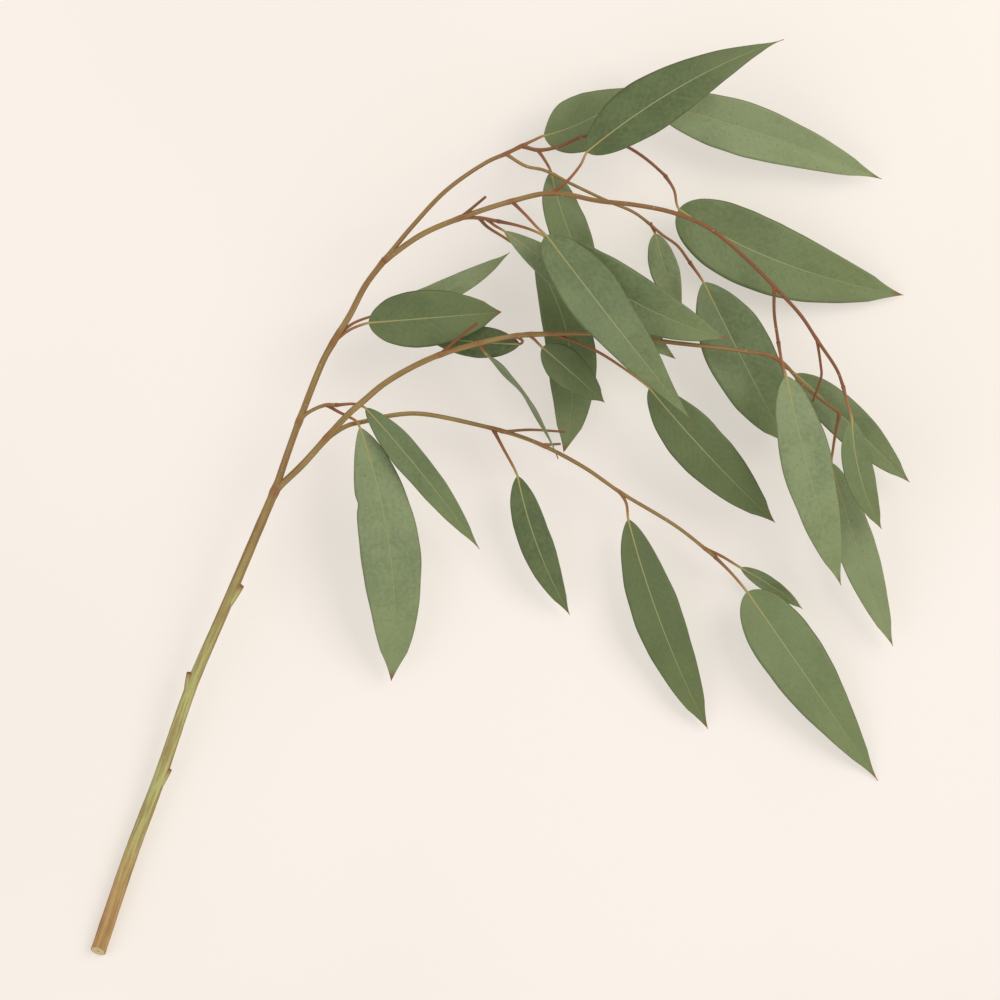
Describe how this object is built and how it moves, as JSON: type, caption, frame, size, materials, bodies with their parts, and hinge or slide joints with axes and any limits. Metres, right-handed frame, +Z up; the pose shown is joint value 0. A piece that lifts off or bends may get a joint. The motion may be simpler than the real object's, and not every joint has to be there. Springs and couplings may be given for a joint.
{
  "type": "eucalyptus branch",
  "caption": "Cut eucalyptus branch lying on a surface: a slant-cut woody stem, forked arching twigs and drooping lance-shaped grey-green leaves.",
  "frame": {"origin": "middle of the branch's outline seen from above, on the surface that it lies on", "axes": "+Z up from that surface; +Y the long way, from the cut end towards the leafy head; +X across, towards the hanging leaf tips"},
  "size_m": [0.4085, 0.4547, 0.0697],
  "materials": {
    "bark": "satin bark, tan at the cut end, olive along the stem and red-brown on the thin twigs",
    "leaf_pale": "waxy satin, pale grey-green",
    "leaf_mid": "waxy satin, mid green",
    "leaf_dark": "waxy satin, dark green"
  },
  "bodies": {
    "root": {"stem_with_twigs": "bark", "leaf_01": "leaf_pale", "leaf_02": "leaf_mid", "leaf_03": "leaf_dark", "leaf_04": "leaf_dark", "leaf_05": "leaf_mid", "leaf_06": "leaf_mid", "leaf_07": "leaf_dark", "leaf_08": "leaf_pale", "leaf_09": "leaf_dark", "leaf_10": "leaf_mid", "leaf_11": "leaf_dark", "leaf_12": "leaf_mid", "leaf_13": "leaf_pale", "leaf_14": "leaf_mid", "leaf_15": "leaf_mid", "leaf_16": "leaf_dark", "leaf_17": "leaf_mid", "leaf_18": "leaf_dark", "leaf_19": "leaf_pale", "leaf_20": "leaf_mid", "leaf_21": "leaf_mid", "leaf_22": "leaf_mid", "leaf_23": "leaf_pale", "leaf_24": "leaf_pale", "leaf_25": "leaf_pale", "leaf_26": "leaf_mid", "leaf_27": "leaf_mid"}
  },
  "joints": []
}
